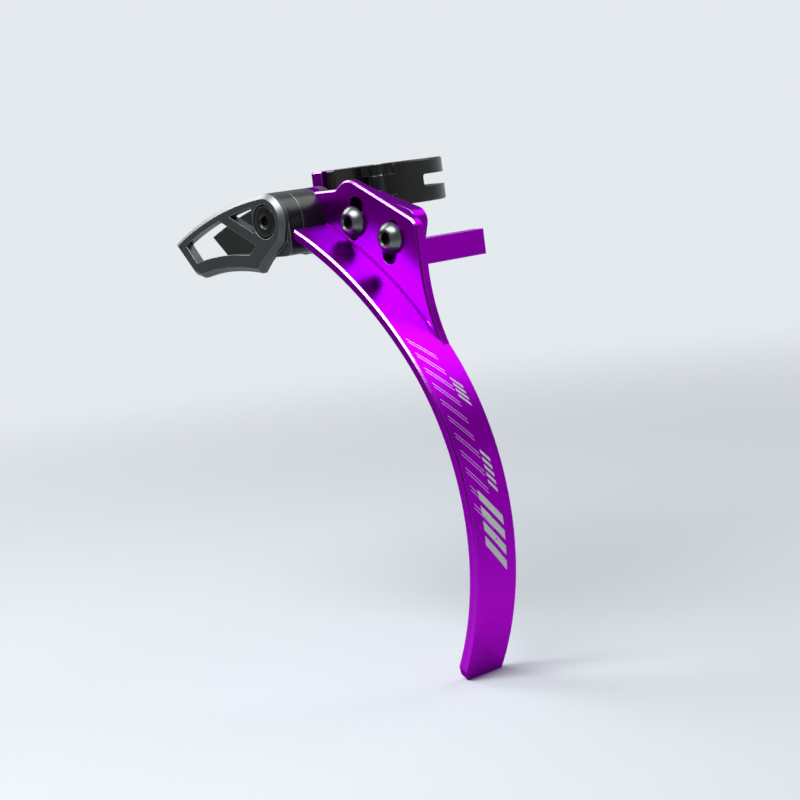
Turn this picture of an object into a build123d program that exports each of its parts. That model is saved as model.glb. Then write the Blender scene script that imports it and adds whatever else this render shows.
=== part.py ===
from build123d import *
import os
from math import acos, atan2, cos, degrees, hypot, radians, sin, sqrt, tan

# Chain guide for a single front chainring, fastened to a 34.9 mm seat tube.
# The origin is on the seat tube's axis, at the middle of the clamp band.
# +Z points up the seat tube, +X forwards and +Y to the inboard side of the bicycle,
# so the chain side of the bicycle lies at negative Y.

# Seat tube and clamp bands
seat_tube_diameter = 34.9
clamp_height = 12.6
clamp_wall = 2.2
clamp_edge_chamfer = 0.4
clamp_slot_height = 3.5
clamp_slot_start = 0.0
clamp_slot_sweep = 100.0
clamp_slot_corner = 0.8

# Hinge between the two clamp bands
hinge_azimuth = -43.5
hinge_pin_diameter = 2.2
hinge_barrel_diameter = 4.4
hinge_tube_clearance = 0.1
hinge_knuckle_height = 6.4
hinge_gap = 0.2
hinge_finger_sweep = 12.4
hinge_notch_sweep = 3.6
hinge_recess_sweep = 12.5

# Ears, bolt, washer and nut that close the clamp on the hidden side
closing_azimuth = 136.5
closing_gap = 2.4
closing_ear_thickness = 4.4
closing_ear_reach = 10.6
closing_ear_corner = 3.8
closing_bolt_offset = 5.6
closing_bolt_diameter = 5.0
closing_head_diameter = 8.5
closing_head_height = 5.0
closing_key = 4.0
closing_key_depth = 2.5
closing_washer_diameter = 9.6
closing_washer_thickness = 1.0
closing_nut_flats = 8.0
closing_nut_height = 4.0
closing_bolt_tip = 1.2

# Boss of the rear band that carries the bracket, and its countersunk screw
boss_front_x = 11.0
boss_thickness = 3.8
boss_reach = 7.35
bracket_screw_diameter = 4.0
bracket_screw_head = 7.5
bracket_screw_reach = 4.55
bracket_screw_tip = 0.5
bracket_screw_key = 2.5
bracket_screw_key_depth = 1.6

# Chainring that the guard follows: its axis ahead of the seat tube's, and the height of the
# clamp's middle above the top of a ring that fills the guard
ring_axis_x = 5.85
clamp_rise = 9.2

# Guard band, one even arc that opens out towards its upper end
guard_radius = 80.0
guard_wall = 2.8
guard_width = 15.4
guard_outer_y = -62.0
guard_low_angle = -30.2
guard_flare_angle = 36.0
guard_flare_radius = 116.0
guard_end_bevel_width = 2.2
guard_end_bevel_length = 4.0
guard_end_gap = 0.7
guard_chamfer = 0.5
guard_crease_radius = 0.6

# Face plate of the guard
plate_thickness = 3.2
plate_ledge_z = 1.1
plate_ledge_end_x = 36.3
plate_ramp_angle = 33.0
plate_slope_angle = 28.4
plate_slope_x = 46.2
plate_slope_z = 1.5
plate_front_x = 66.3
plate_waist_z = -22.0
plate_ledge_fillet = 1.2
plate_crest_fillet = 6.0
plate_front_fillet = 4.4

# Two button head bolts and the slots that they clamp in, the first just clear of the band
guard_bolt_x = 42.4
guard_bolt_gap = 1.0
guard_bolt_spacing = 14.85
guard_bolt_tilt = 20.2
guard_bolt_diameter = 5.0
guard_bolt_head_diameter = 9.2
guard_bolt_head_height = 2.9
guard_bolt_rim_height = 0.5
guard_bolt_flat_radius = 2.2
guard_bolt_dome_radius = 4.2
guard_bolt_key = 3.0
guard_bolt_key_depth = 1.9
guard_bolt_length = 9.0
slot_width = 5.4
slot_length = 12.2
first_slot_shift = 1.0
second_slot_shift = -1.2

# Mounting bracket
bracket_plate_thickness = 5.0
bracket_plate_half_width = 8.2
bracket_plate_front = 5.2
bracket_plate_rear = 7.6
bracket_plate_corner = 3.8
bracket_chamfer = 0.5
bracket_arm_top_z = -0.6
bracket_arm_height = 8.6
bracket_lug_thickness = 6.3
bracket_lug_top_z = 6.4
bracket_lug_corner = 3.2
bracket_lug_reach = 8.95
bracket_seat_clearance = 0.2
bracket_boss_gap = 0.4
bracket_arm_plate_x = 36.5
bracket_arm_plate_length = 10.5

# Foot of the bracket that bears on the front of the seat tube
foot_thickness = 4.4
foot_height = 7.7
foot_top_z = -16.7
foot_end_y = 20.4
foot_bend_y = -12.0
foot_root_x = 47.0
foot_root_depth = 1.5
foot_bend_radius = 5.0
foot_tail_length = 14.0
foot_tail_corner = 3.0
foot_clearance = 0.1

# Chain cage: outer plate, spacer, inner plate and the bolt that holds them
cage_axis_x = 23.0
cage_axis_z = -5.0
cage_plate_thickness = 2.7
cage_guard_clearance = 0.3
cage_boss_radius = 7.5
cage_boss_length = 4.7
cage_spacer_radius = 7.5
cage_bevel = 1.1
cage_tip_x = -17.9
cage_tip_z = -9.0
cage_crown_lean = 8.7
cage_low_radius = 71.2
cage_low_front_x = 15.6
cage_low_rear_x = -7.0
cage_heel_x = -11.2
cage_heel_z = -17.4
cage_front_low_z = -10.6
cage_front_foot_x = 22.3
cage_front_foot_z = -17.2
cage_rim = 3.0
cage_low_rim = 4.7
cage_front_rim = 7.0
cage_eye_radius = 4.8
cage_spoke_angle = 26.6
cage_spoke_drop = 6.1
cage_spoke_width = 2.7
cage_window_corner = 0.5
cage_inner_thickness = 3.0
cage_inner_tip_x = -24.0
cage_inner_tip_z = -8.8
cage_inner_low_radius = 69.6
cage_inner_heel_x = -15.4
cage_inner_heel_z = -19.2
cage_inner_low_rear_x = -10.6
cage_inner_low_front_x = 9.0
cage_inner_front_z = -6.0
cage_inner_foot_x = 22.0
cage_inner_foot_z = -13.5
cage_bolt_diameter = 5.0
cage_bolt_head_diameter = 8.8
cage_bolt_head_height = 2.0
cage_bolt_head_chamfer = 0.4
cage_bolt_recess_clearance = 0.35
cage_bolt_key = 3.0
cage_bolt_key_depth = 1.4
cage_nut_flats = 8.0
cage_nut_height = 3.2
cage_bolt_tip = 0.8

# Clearance of a bolt in a plain hole, on the diameter
bolt_hole_clearance = 0.3

# Broken edge of the small turned pieces
small_chamfer = 0.2

# How far a cutter passes a face, and how far two forms of one piece run into each other
margin = 1.0
margin_angle = 1.0

# Reach of a cutter that passes the whole part
far_reach = 200.0

# Lengths that differ by less than this are taken as equal
tolerance = 0.01

# Sizes worked out from those above
tube_radius = seat_tube_diameter / 2
band_radius = tube_radius + clamp_wall
half_height = clamp_height / 2
hinge_axis_radius = tube_radius + hinge_barrel_diameter / 2 + hinge_tube_clearance
ring_axis_z = -(guard_radius + clamp_rise)
plate_back_y = guard_outer_y + guard_width
plate_face_y = plate_back_y - plate_thickness
flare_offset = guard_flare_radius - guard_radius
flare_axis_x = ring_axis_x - flare_offset * cos(radians(guard_flare_angle))
flare_axis_z = ring_axis_z - flare_offset * sin(radians(guard_flare_angle))
guard_end_x = cage_axis_x + cage_spacer_radius + guard_end_gap
guard_end_angle = degrees(acos((guard_end_x - flare_axis_x) / guard_flare_radius))
guard_flare_sweep = guard_end_angle - guard_flare_angle
guard_bolt_orbit = guard_flare_radius + guard_bolt_head_diameter / 2 + guard_bolt_gap
guard_bolt_z = flare_axis_z + sqrt(guard_bolt_orbit ** 2 - (guard_bolt_x - flare_axis_x) ** 2)
second_bolt_x = guard_bolt_x + guard_bolt_spacing * cos(radians(guard_bolt_tilt))
second_bolt_z = guard_bolt_z - guard_bolt_spacing * sin(radians(guard_bolt_tilt))
guard_bolt_places = [(guard_bolt_x, guard_bolt_z), (second_bolt_x, second_bolt_z)]
bracket_plate_back_y = plate_back_y + bracket_plate_thickness
boss_outer_y = -(band_radius + boss_reach)
bracket_screw_y = -(band_radius + bracket_screw_reach)
bracket_lug_outer_y = -(band_radius + bracket_lug_reach)
boss_rear_x = boss_front_x - boss_thickness
lug_rear_x = boss_rear_x - bracket_lug_thickness
cage_inner_back_y = plate_back_y + cage_inner_thickness
cage_plate_back_y = guard_outer_y - cage_guard_clearance
cage_outer_y = cage_plate_back_y - cage_plate_thickness
cage_spacer_outer_y = cage_plate_back_y + cage_boss_length
foot_back_x = tube_radius + foot_clearance


def flat(outline, back_y, front_y):
    """Thicken an outline drawn in X and Z from back_y out to front_y."""
    return extrude(Plane.XZ.offset(-back_y) * outline, amount=back_y - front_y)


def level(outline, low_z, high_z):
    """Thicken an outline drawn in X and Y from low_z up to high_z."""
    return extrude(Plane.XY.offset(low_z) * outline, amount=high_z - low_z)


def polygon(*points):
    """Filled outline through the given points."""
    return make_face(Polyline(*points, close=True))


def cross_rod(x, z, diameter, back_y, front_y):
    """Cylinder along Y from back_y out to front_y."""
    return flat(Pos(x, z) * Circle(diameter / 2), back_y, front_y)


def turned(solid, azimuth):
    """Turn a solid about the seat tube's axis."""
    return Rot(0, 0, azimuth) * solid


def sector(radius, start, sweep):
    """Pie slice in X and Y about the seat tube's axis."""
    edge = CenterArc((0, 0), radius, start, sweep)
    sides = Line((0, 0), edge @ 0) + Line(edge @ 1, (0, 0))
    return make_face(sides + edge)


def ring_part(start, sweep, low_z, high_z):
    """Part of the clamp ring between two azimuths and two heights."""
    ring = Circle(band_radius) - Circle(tube_radius)
    return level(ring & sector(far_reach, start, sweep), low_z, high_z)


def half_band(start, sweep):
    """Half of the clamp ring with its outer edges chamfered."""
    half = ring_part(start, sweep, -half_height, half_height)
    arcs = half.edges().filter_by(GeomType.CIRCLE)
    rims = arcs.filter_by(lambda e: e.radius > band_radius - tolerance)
    return chamfer(rims, clamp_edge_chamfer)


def band_slot():
    """Long window that runs round part of the front band at mid height."""
    half_slot = clamp_slot_height / 2
    cutter = ring_part(clamp_slot_start, clamp_slot_sweep, -half_slot, half_slot)
    lines = cutter.edges().filter_by(GeomType.LINE)
    corners = lines.filter_by(lambda e: abs(e.tangent_at(0.5).Z) < tolerance)
    return fillet(corners, clamp_slot_corner)


def hinge_rod(diameter, low_z, high_z):
    """Upright cylinder on the hinge axis."""
    rod = level(Pos(hinge_axis_radius, 0) * Circle(diameter / 2), low_z, high_z)
    return turned(rod, hinge_azimuth)


def closing_ear(side):
    """Ear of one band beside the closing gap, on side 1 or -1."""
    inner = band_radius - clamp_wall / 2
    outer = band_radius + closing_ear_reach
    near = closing_gap / 2
    block = Pos((inner + outer) / 2, side * (near + closing_ear_thickness / 2)) * Rectangle(
        outer - inner, closing_ear_thickness)
    ear = level(block, -half_height, half_height)
    corners = ear.edges().filter_by(Axis.Y).group_by(Axis.X)[-1]
    ear = fillet(corners, closing_ear_corner)
    return turned(ear, closing_azimuth)


def closing_rod(diameter, start, end):
    """Rod along the closing bolt's axis, measured from the middle of the gap."""
    circle = Pos(band_radius + closing_bolt_offset, 0) * Circle(diameter / 2)
    return turned(flat(circle, end, start), closing_azimuth)


def front_band():
    """Front half of the clamp with the middle knuckle of the hinge."""
    start = hinge_azimuth + hinge_finger_sweep + hinge_notch_sweep
    gap_angle = degrees(closing_gap / 2 / band_radius)
    band = half_band(start, closing_azimuth - gap_angle - start)
    knuckle = hinge_knuckle_height / 2 - hinge_gap
    tongue = ring_part(hinge_azimuth, start - hinge_azimuth + margin_angle, -knuckle, knuckle)
    band += tongue + hinge_rod(hinge_barrel_diameter, -knuckle, knuckle)
    band += closing_ear(-1)
    band -= band_slot()
    band -= level(Circle(tube_radius), -clamp_height, clamp_height)
    band -= closing_rod(closing_bolt_diameter + bolt_hole_clearance, -clamp_height, 0)
    band -= hinge_rod(hinge_pin_diameter, -clamp_height, clamp_height)
    return band


def rear_band():
    """Rear half of the clamp with the outer knuckles and the bracket's boss."""
    gap_angle = degrees(closing_gap / 2 / band_radius)
    start = closing_azimuth + gap_angle
    end = 360 + hinge_azimuth - hinge_recess_sweep
    band = half_band(start, end - start)
    finger_sweep = hinge_recess_sweep + hinge_finger_sweep + margin_angle
    knuckle = hinge_knuckle_height / 2
    for low, high in ((knuckle, half_height), (-half_height, -knuckle)):
        finger = ring_part(end - margin_angle, finger_sweep, low, high)
        band += finger + hinge_rod(hinge_barrel_diameter, low, high)
    band += closing_ear(1)
    band += bracket_boss()
    band -= level(Circle(tube_radius), -clamp_height, clamp_height)
    band -= closing_rod(closing_bolt_diameter + bolt_hole_clearance, 0, clamp_height)
    band -= hinge_rod(hinge_pin_diameter, -clamp_height, clamp_height)
    band -= bracket_screw_rod(bracket_screw_diameter, boss_rear_x - margin, boss_front_x + margin)
    return band


def bracket_boss():
    """Upright block on the outboard side of the rear band."""
    inner_y = -sqrt(tube_radius ** 2 - boss_front_x ** 2)
    depth = inner_y - boss_outer_y
    block = Pos((boss_rear_x + boss_front_x) / 2, inner_y - depth / 2) * Rectangle(boss_thickness, depth)
    boss = level(block, -half_height, half_height)
    rim = boss.faces().sort_by(Axis.Y)[0].edges()
    return chamfer(rim, clamp_edge_chamfer)


def bracket_screw_rod(diameter, start_x, end_x):
    """Cylinder along X on the axis of the bracket's screw."""
    circle = Plane.YZ.offset(start_x) * Pos(bracket_screw_y, 0) * Circle(diameter / 2)
    return extrude(circle, amount=end_x - start_x)


def countersink():
    """Cone of the countersunk head, wide end at the rear face of the lug."""
    depth = (bracket_screw_head - bracket_screw_diameter) / 2
    wide = Pos(bracket_screw_y, 0) * Circle(bracket_screw_head / 2)
    narrow = Pos(bracket_screw_y, 0) * Circle(bracket_screw_diameter / 2)
    return loft([Plane.YZ.offset(lug_rear_x) * wide, Plane.YZ.offset(lug_rear_x + depth) * narrow])


def hexagon(flats):
    """Hexagon of a given width across its flats."""
    return RegularPolygon(flats / sqrt(3), 6)


def hex_pocket(flats, depth):
    """Hexagonal key pocket that opens at Z = 0 and runs down."""
    return extrude(hexagon(flats), amount=-depth)


def bracket_screw():
    """Countersunk screw that holds the bracket on the rear band's boss."""
    tip_x = boss_front_x - bracket_screw_tip
    screw = countersink() + bracket_screw_rod(bracket_screw_diameter, lug_rear_x + margin, tip_x)
    head = Plane(origin=(lug_rear_x, bracket_screw_y, 0), z_dir=(-1, 0, 0))
    return screw - head * hex_pocket(bracket_screw_key, bracket_screw_key_depth)


def closing_bolt():
    """Cap screw across the closing ears."""
    ear = closing_gap / 2 + closing_ear_thickness
    seat = ear + closing_washer_thickness
    bolt = closing_rod(closing_head_diameter, seat, seat + closing_head_height)
    bolt += closing_rod(closing_bolt_diameter, -ear - closing_nut_height - closing_bolt_tip, seat + margin)
    head_end = seat + closing_head_height
    key = Pos(band_radius + closing_bolt_offset, 0) * hexagon(closing_key)
    return bolt - turned(flat(key, head_end, head_end - closing_key_depth), closing_azimuth)


def closing_washer():
    """Washer between the cap screw's head and the rear ear."""
    ear = closing_gap / 2 + closing_ear_thickness
    seat = ear + closing_washer_thickness
    washer = closing_rod(closing_washer_diameter, ear, seat)
    return washer - closing_rod(closing_bolt_diameter + bolt_hole_clearance, ear - margin, seat + margin)


def closing_nut():
    """Hexagon nut against the front ear."""
    ear = closing_gap / 2 + closing_ear_thickness
    end = ear + closing_nut_height
    outline = Pos(band_radius + closing_bolt_offset, 0) * hexagon(closing_nut_flats)
    nut = turned(flat(outline, -ear, -end), closing_azimuth)
    return nut - closing_rod(closing_bolt_diameter, -end - margin, -ear + margin)


def hinge_pin():
    """Plain pin pressed through the three knuckles."""
    pin = hinge_rod(hinge_pin_diameter, -half_height, half_height)
    return chamfer(pin.edges().filter_by(GeomType.CIRCLE), small_chamfer)


def guard_section():
    """Outline of the curved band in X and Z."""
    inner = guard_wall
    low = guard_low_angle
    even = guard_flare_angle - low
    ring_axis = (ring_axis_x, ring_axis_z)
    flare_axis = (flare_axis_x, flare_axis_z)
    outer_low = CenterArc(ring_axis, guard_radius, low, even)
    outer_top = CenterArc(flare_axis, guard_flare_radius, guard_flare_angle, guard_flare_sweep)
    inner_low = CenterArc(ring_axis, guard_radius - inner, low, even)
    inner_top = CenterArc(flare_axis, guard_flare_radius - inner, guard_flare_angle, guard_flare_sweep)
    low_end = Line(outer_low @ 0, inner_low @ 0)
    top_end = Line(outer_top @ 1, inner_top @ 1)
    return make_face(outer_low + outer_top + top_end + inner_top + inner_low + low_end)


def guard_band():
    """Curved band with chamfered rims and a bevelled lower corner."""
    band = flat(guard_section(), plate_back_y, guard_outer_y)
    for axis_end in (0, -1):
        rim = band.faces().filter_by(Axis.Y).sort_by(Axis.Y)[axis_end]
        band = chamfer(rim.edges(), guard_chamfer)
    return band - guard_end_bevel()


def guard_end_bevel():
    """Wedge that bevels the band's lower outboard corner."""
    bevel = polygon((0, 0), (guard_end_bevel_width, 0), (0, guard_end_bevel_length))
    across = cos(radians(guard_low_angle))
    up = sin(radians(guard_low_angle))
    inside = guard_radius - guard_wall - margin
    corner = Plane(origin=(ring_axis_x + inside * across, guard_outer_y, ring_axis_z + inside * up),
                   x_dir=(0, 1, 0), z_dir=(across, 0, up))
    return extrude(corner * bevel, amount=guard_wall + 2 * margin)


def plate_outline():
    """Outline of the face plate above the band, in X and Z."""
    ramp = tan(radians(plate_ramp_angle))
    slope = tan(radians(plate_slope_angle))
    slope_lead = plate_slope_z + slope * (plate_slope_x - plate_ledge_end_x) - plate_ledge_z
    crest_x = plate_ledge_end_x + slope_lead / (ramp + slope)
    crest_z = plate_ledge_z + ramp * (crest_x - plate_ledge_end_x)
    shoulder_z = plate_slope_z - slope * (plate_front_x - plate_slope_x)
    join_x = ring_axis_x + guard_radius * cos(radians(guard_flare_angle))
    join_z = ring_axis_z + guard_radius * sin(radians(guard_flare_angle))
    waist = (plate_front_x, plate_waist_z)
    ledge = ((cage_axis_x, plate_ledge_z), (plate_ledge_end_x, plate_ledge_z))
    top = FilletPolyline(*ledge, (crest_x, crest_z), (plate_front_x, shoulder_z), waist,
                         radius=[plate_ledge_fillet, plate_crest_fillet, plate_front_fillet])
    front = TangentArc(waist, (join_x, join_z), tangent=(0, -1))
    under = Polyline((join_x, join_z), (flare_axis_x, flare_axis_z), (cage_axis_x, cage_axis_z),
                     (cage_axis_x, plate_ledge_z))
    outline = make_face(top + front + under)
    outline -= Pos(flare_axis_x, flare_axis_z) * Circle(guard_flare_radius - guard_wall / 2)
    return outline


def slot_places():
    """Middle of each slot, shifted along its length from its bolt."""
    tilt = radians(guard_bolt_tilt)
    shifts = (first_slot_shift, second_slot_shift)
    return [(x + shift * sin(tilt), z + shift * cos(tilt))
            for (x, z), shift in zip(guard_bolt_places, shifts)]


def chain_guard():
    """Guard: face plate and curved band in one machined piece."""
    plate = flat(plate_outline(), plate_back_y, plate_face_y)
    plate = chamfer(plate.edges().filter_by(is_free_plate_edge), guard_chamfer)
    plate += cage_rod(2 * cage_spacer_radius, plate_back_y, plate_face_y)
    guard = plate + guard_band()
    guard = fillet(guard.edges().filter_by(is_crease), guard_crease_radius)
    for x, z in slot_places():
        slot = Pos(x, z) * Rot(0, 0, 90 - guard_bolt_tilt) * SlotOverall(slot_length, slot_width)
        guard -= flat(slot, plate_back_y + margin, plate_face_y - margin)
    guard -= cage_bolt_hole(plate_back_y, plate_face_y)
    return guard


def is_free_plate_edge(edge):
    """True for the rim edges of the plate that stand clear of the band and of the cage."""
    middle = edge.center()
    on_face = min(abs(middle.Y - plate_face_y), abs(middle.Y - plate_back_y)) < tolerance
    reach = hypot(middle.X - flare_axis_x, middle.Z - flare_axis_z)
    return on_face and reach > guard_flare_radius + margin and middle.X > cage_axis_x + tolerance


def is_crease(edge):
    """True for the inside corner where the face plate meets the band."""
    middle = edge.center()
    reach = hypot(middle.X - flare_axis_x, middle.Z - flare_axis_z)
    return edge.geom_type == GeomType.CIRCLE and abs(middle.Y - plate_face_y) < tolerance and (
        abs(reach - guard_flare_radius) < tolerance)


def guard_bolt(x, z):
    """Button head bolt whose head seats on the face plate."""
    radius = guard_bolt_head_diameter / 2
    height = guard_bolt_head_height
    rim = (radius, guard_bolt_rim_height)
    crown = (guard_bolt_flat_radius, height)
    profile = Polyline(crown, (0, height), (0, 0), (radius, 0), rim)
    profile += RadiusArc(rim, crown, -guard_bolt_dome_radius)
    head = revolve(Plane.XZ * make_face(profile), Axis.Z)
    head -= Pos(0, 0, height) * hex_pocket(guard_bolt_key, guard_bolt_key_depth)
    shank = extrude(Circle(guard_bolt_diameter / 2), amount=-guard_bolt_length)
    return Pos(x, plate_face_y, z) * Rot(90, 0, 0) * (head + shank)


def bracket_plate():
    """Backing plate of the bracket along the line of the two bolts, with a tail for the foot."""
    length = guard_bolt_spacing + bracket_plate_front + bracket_plate_rear
    shape = RectangleRounded(length, 2 * bracket_plate_half_width, bracket_plate_corner)
    middle = (guard_bolt_spacing + bracket_plate_front - bracket_plate_rear) / 2
    outline = Pos(guard_bolt_x, guard_bolt_z) * Rot(0, 0, -guard_bolt_tilt) * Pos(middle, 0) * shape
    tail_height = guard_bolt_z - foot_top_z + foot_height
    tail = RectangleRounded(foot_tail_length, tail_height, foot_tail_corner)
    outline += Pos(foot_root_x, guard_bolt_z - tail_height / 2) * tail
    plate = flat(outline, bracket_plate_back_y, plate_back_y)
    return chamfer(plate.faces().sort_by(Axis.Y)[-1].edges(), bracket_chamfer)


def bracket_arm():
    """Arm from the backing plate in to the lug beside the clamp's boss."""
    root_y = bracket_plate_back_y - margin
    root_front_x = bracket_arm_plate_x + bracket_arm_plate_length
    gap_y = boss_outer_y - bracket_boss_gap
    outline = polygon((lug_rear_x, -band_radius), (lug_rear_x, bracket_lug_outer_y),
                      (bracket_arm_plate_x, root_y), (root_front_x, root_y),
                      (boss_front_x, gap_y), (boss_rear_x, gap_y), (boss_rear_x, -band_radius))
    return level(outline, bracket_arm_top_z - bracket_arm_height, bracket_arm_top_z)


def bracket_lug():
    """Upright lug that lies against the clamp's boss."""
    depth = -bracket_lug_outer_y
    block = Pos((lug_rear_x + boss_rear_x) / 2, -depth / 2) * Rectangle(bracket_lug_thickness, depth)
    low = bracket_arm_top_z - bracket_arm_height
    lug = level(block, low, bracket_lug_top_z)
    corner = lug.edges().filter_by(Axis.Z).sort_by(lambda e: e.center().X + e.center().Y)[0]
    lug = fillet(corner, bracket_lug_corner)
    rim = lug.faces().sort_by(Axis.Z)[-1].edges().filter_by(lambda e: e.center().Y < -band_radius)
    return chamfer(rim, bracket_chamfer)


def bracket_foot():
    """Bent strip from the backing plate to the front of the seat tube."""
    middle_x = foot_back_x + foot_thickness / 2
    root = (foot_root_x, bracket_plate_back_y - foot_root_depth)
    route = FilletPolyline(root, (middle_x, foot_bend_y), (middle_x, foot_end_y), radius=foot_bend_radius)
    foot = level(trace(route, foot_thickness), foot_top_z - foot_height, foot_top_z)
    tip = foot.faces().sort_by(Axis.Y)[-1]
    return chamfer(tip.edges(), bracket_chamfer)


def mounting_bracket():
    """Machined bracket between the clamp and the guard."""
    lug = bracket_arm() + bracket_lug()
    lug -= level(Circle(band_radius + bracket_seat_clearance), -far_reach, far_reach)
    bracket = bracket_plate() + lug + bracket_foot()
    hole_back = bracket_plate_back_y + margin
    for x, z in guard_bolt_places:
        bracket -= cross_rod(x, z, guard_bolt_diameter, hole_back, plate_back_y - margin)
    bracket -= countersink()
    bracket -= bracket_screw_rod(bracket_screw_diameter, lug_rear_x - margin, boss_front_x)
    return bracket


def cage_rod(diameter, back_y, front_y):
    """Cylinder on the cage bolt's axis from back_y out to front_y."""
    return cross_rod(cage_axis_x, cage_axis_z, diameter, back_y, front_y)


def cage_bolt_hole(back_y, front_y):
    """Cutter for the cage bolt's plain hole through a piece that lies between two heights in Y."""
    return cage_rod(cage_bolt_diameter + bolt_hole_clearance, back_y + margin, front_y - margin)


def on_low_arc(radius, x):
    """Point at x on an arc about the chainring's axis."""
    return (x, ring_axis_z + sqrt(radius ** 2 - (x - ring_axis_x) ** 2))


def around_cage_axis(radius, angle):
    """Point about the cage bolt's axis, its angle measured up from the front."""
    return (cage_axis_x + radius * cos(radians(angle)), cage_axis_z + radius * sin(radians(angle)))


def cage_outline(tip, heel, low_radius, low_rear_x, low_front_x, rounding, front_z, foot):
    """Outline of a cage plate in X and Z, with its low edge concentric to the chainring."""
    front_x = cage_axis_x + rounding
    crown = around_cage_axis(rounding, 90 + cage_crown_lean)
    rearward = (-cos(radians(cage_crown_lean)), -sin(radians(cage_crown_lean)))
    low_rear = on_low_arc(low_radius, low_rear_x)
    low_front = on_low_arc(low_radius, low_front_x)
    low_middle = on_low_arc(low_radius, (low_rear_x + low_front_x) / 2)
    top = TangentArc(crown, tip, tangent=rearward)
    shoulder = ThreePointArc(crown, around_cage_axis(rounding, 45), (front_x, cage_axis_z))
    front = Polyline((front_x, cage_axis_z), (front_x, front_z), foot, low_front)
    low = ThreePointArc(low_front, low_middle, low_rear)
    rear = Polyline(low_rear, heel, tip)
    return make_face(top + shoulder + front + low + rear)


def outer_cage_outline():
    """Outline of the outer cage plate."""
    return cage_outline((cage_tip_x, cage_tip_z), (cage_heel_x, cage_heel_z), cage_low_radius,
                        cage_low_rear_x, cage_low_front_x, cage_boss_radius, cage_front_low_z,
                        (cage_front_foot_x, cage_front_foot_z))


def cage_windows():
    """Windows of the outer cage plate: its outline set in, less the low rim and one spoke."""
    inset = offset(outer_cage_outline(), -cage_rim, kind=Kind.INTERSECTION)
    inset -= Pos(ring_axis_x, ring_axis_z) * Circle(cage_low_radius + cage_low_rim)
    inset &= front_limit()
    spoke = Rot(0, 0, -cage_spoke_angle) * Pos(0, -cage_spoke_drop) * Rectangle(far_reach, cage_spoke_width)
    inset -= Pos(cage_axis_x, cage_axis_z) * spoke
    return fillet(inset.vertices(), cage_window_corner)


def front_limit():
    """Area behind the solid front part of the outer cage plate."""
    rise = cage_front_low_z - cage_front_foot_z
    run = cage_axis_x + cage_boss_radius - cage_front_foot_x
    area = Rectangle(2 * far_reach, 2 * far_reach)
    behind = Pos(cage_axis_x - cage_eye_radius - far_reach, 0) * area
    above = Rot(0, 0, degrees(atan2(rise, run))) * Pos(0, cage_front_rim + far_reach) * area
    return behind & Pos(cage_front_foot_x, cage_front_foot_z) * above


def cage_outer_plate():
    """Outer plate of the chain cage with its boss, windows and bevelled rim."""
    plate = flat(outer_cage_outline(), cage_plate_back_y, cage_outer_y)
    rim = plate.faces().sort_by(Axis.Y)[0].outer_wire().edges()
    plate = chamfer(rim, cage_bevel)
    plate -= flat(cage_windows(), cage_plate_back_y + margin, cage_outer_y - margin)
    plate += cage_rod(2 * cage_boss_radius, cage_spacer_outer_y, cage_plate_back_y)
    recess = cage_bolt_head_diameter + 2 * cage_bolt_recess_clearance
    plate -= cage_rod(recess, cage_outer_y + cage_bolt_head_height, cage_outer_y - margin)
    return plate - cage_bolt_hole(cage_spacer_outer_y, cage_outer_y)


def cage_inner_plate():
    """Inner plate of the chain cage, clamped behind the guard."""
    outline = cage_outline((cage_inner_tip_x, cage_inner_tip_z), (cage_inner_heel_x, cage_inner_heel_z),
                           cage_inner_low_radius, cage_inner_low_rear_x, cage_inner_low_front_x,
                           cage_spacer_radius, cage_inner_front_z, (cage_inner_foot_x, cage_inner_foot_z))
    plate = flat(outline, cage_inner_back_y, plate_back_y)
    rim = plate.faces().sort_by(Axis.Y)[-1].outer_wire().edges()
    plate = chamfer(rim, bracket_chamfer)
    return plate - cage_bolt_hole(cage_inner_back_y, plate_back_y)


def cage_spacer():
    """Round spacer between the outer cage plate and the guard."""
    spacer = cage_rod(2 * cage_spacer_radius, plate_face_y, cage_spacer_outer_y)
    spacer = chamfer(spacer.edges().filter_by(GeomType.CIRCLE), small_chamfer)
    return spacer - cage_bolt_hole(plate_face_y, cage_spacer_outer_y)


def cage_bolt():
    """Flush bolt through the cage, the spacer and the guard."""
    head_back = cage_outer_y + cage_bolt_head_height
    bolt = cage_rod(cage_bolt_head_diameter, head_back, cage_outer_y)
    rim = bolt.edges().filter_by(GeomType.CIRCLE).sort_by(Axis.Y)[0]
    bolt = chamfer(rim, cage_bolt_head_chamfer)
    bolt += cage_rod(cage_bolt_diameter, cage_inner_back_y + cage_nut_height + cage_bolt_tip, head_back)
    key = Pos(cage_axis_x, cage_axis_z) * hexagon(cage_bolt_key)
    return bolt - flat(key, cage_outer_y + cage_bolt_key_depth, cage_outer_y - margin)


def cage_nut():
    """Hexagon nut behind the inner cage plate."""
    outline = Pos(cage_axis_x, cage_axis_z) * hexagon(cage_nut_flats)
    nut_back_y = cage_inner_back_y + cage_nut_height
    nut = flat(outline, nut_back_y, cage_inner_back_y)
    return nut - cage_rod(cage_bolt_diameter, nut_back_y + margin, cage_inner_back_y - margin)


def save(name, *solids):
    """Write one node as a STEP file."""
    node = solids[0] if len(solids) == 1 else Compound(children=list(solids))
    export_step(node, os.path.join("parts", name + ".step"))


os.makedirs("parts", exist_ok=True)
save("clamp_front_band", front_band())
save("clamp_rear_band", rear_band())
save("hinge_pin", hinge_pin())
save("clamp_bolt", closing_bolt())
save("clamp_washer", closing_washer())
save("clamp_nut", closing_nut())
save("mounting_bracket", mounting_bracket())
save("bracket_screw", bracket_screw())
save("chain_guard", chain_guard())
save("guard_bolts", *[guard_bolt(x, z) for x, z in guard_bolt_places])
save("cage_outer_plate", cage_outer_plate())
save("cage_spacer", cage_spacer())
save("cage_inner_plate", cage_inner_plate())
save("cage_bolt", cage_bolt())
save("cage_nut", cage_nut())
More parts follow.
